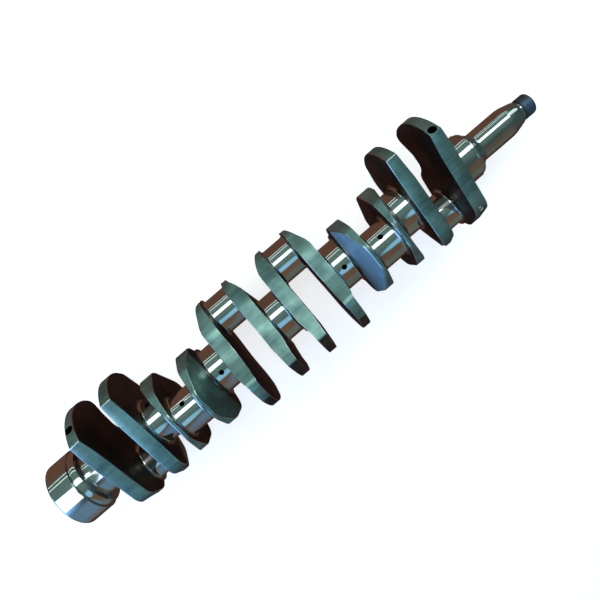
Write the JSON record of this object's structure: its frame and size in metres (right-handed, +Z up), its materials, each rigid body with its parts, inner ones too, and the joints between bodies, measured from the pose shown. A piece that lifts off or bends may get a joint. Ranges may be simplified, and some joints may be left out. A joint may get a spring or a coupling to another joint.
{
  "type": "crankshaft",
  "caption": "Forged in-line engine crankshaft with ground journals and crankpins, swung counterweights, a tapered threaded nose, a rear flange and a pilot bearing.",
  "frame": {"origin": "the middle of main journal 4, on the crank's axis", "axes": "+X along the crank towards its nose; +Z up as the crank lies on a bench on its outer throws; +Y across"},
  "size_m": [0.938, 0.2009, 0.1789],
  "materials": {
    "ground_steel": "ground and lapped to a mirror",
    "milled_forging": "forged, with milled and shot-dulled faces",
    "blackened_steel": "cut thread, blackened and oiled",
    "plug_steel": "turned and staked",
    "bearing_steel": "hardened and polished",
    "cage_steel": "pressed sheet steel"
  },
  "bodies": {
    "crank": {"main_journal_1": "ground_steel", "main_journal_2": "ground_steel", "main_journal_3": "ground_steel", "main_journal_4": "ground_steel", "main_journal_5": "ground_steel", "main_journal_6": "ground_steel", "main_journal_7": "ground_steel", "crankpin_1": "ground_steel", "crankpin_2": "ground_steel", "crankpin_3": "ground_steel", "crankpin_4": "ground_steel", "crankpin_5": "ground_steel", "crankpin_6": "ground_steel", "nose_taper": "ground_steel", "seal_collar": "ground_steel", "rear_flange": "ground_steel", "web_1": "milled_forging", "web_2": "milled_forging", "web_3": "milled_forging", "web_4": "milled_forging", "web_5": "milled_forging", "web_6": "milled_forging", "web_7": "milled_forging", "web_8": "milled_forging", "web_9": "milled_forging", "web_10": "milled_forging", "web_11": "milled_forging", "web_12": "milled_forging", "nose_thread": "blackened_steel", "oil_plug_1": "plug_steel", "oil_plug_2": "plug_steel", "oil_plug_3": "plug_steel", "oil_plug_4": "plug_steel", "oil_plug_5": "plug_steel", "oil_plug_6": "plug_steel", "flange_dowel": "plug_steel", "pilot_outer_ring": "bearing_steel", "pilot_shield_front": "bearing_steel", "pilot_shield_rear": "bearing_steel"},
    "pilot_inner": {"pilot_inner_ring": "bearing_steel"},
    "pilot_cage": {"pilot_cage": "cage_steel", "pilot_ball_1": "bearing_steel", "pilot_ball_2": "bearing_steel", "pilot_ball_3": "bearing_steel", "pilot_ball_4": "bearing_steel", "pilot_ball_5": "bearing_steel", "pilot_ball_6": "bearing_steel", "pilot_ball_7": "bearing_steel", "pilot_ball_8": "bearing_steel"}
  },
  "joints": [
    {"name": "pilot_inner_spin", "type": "hinge", "parent": "crank", "child": "pilot_inner", "pos_m": [-0.4185, 0, 0], "axis": [1, 0, 0], "continuous": true},
    {"name": "pilot_cage_spin", "type": "hinge", "parent": "crank", "child": "pilot_cage", "pos_m": [-0.4185, 0, 0], "axis": [1, 0, 0], "continuous": true}
  ],
  "couplings": [
    {"joint": "pilot_cage_spin", "follows": "pilot_inner_spin", "ratio": 0.3815}
  ]
}
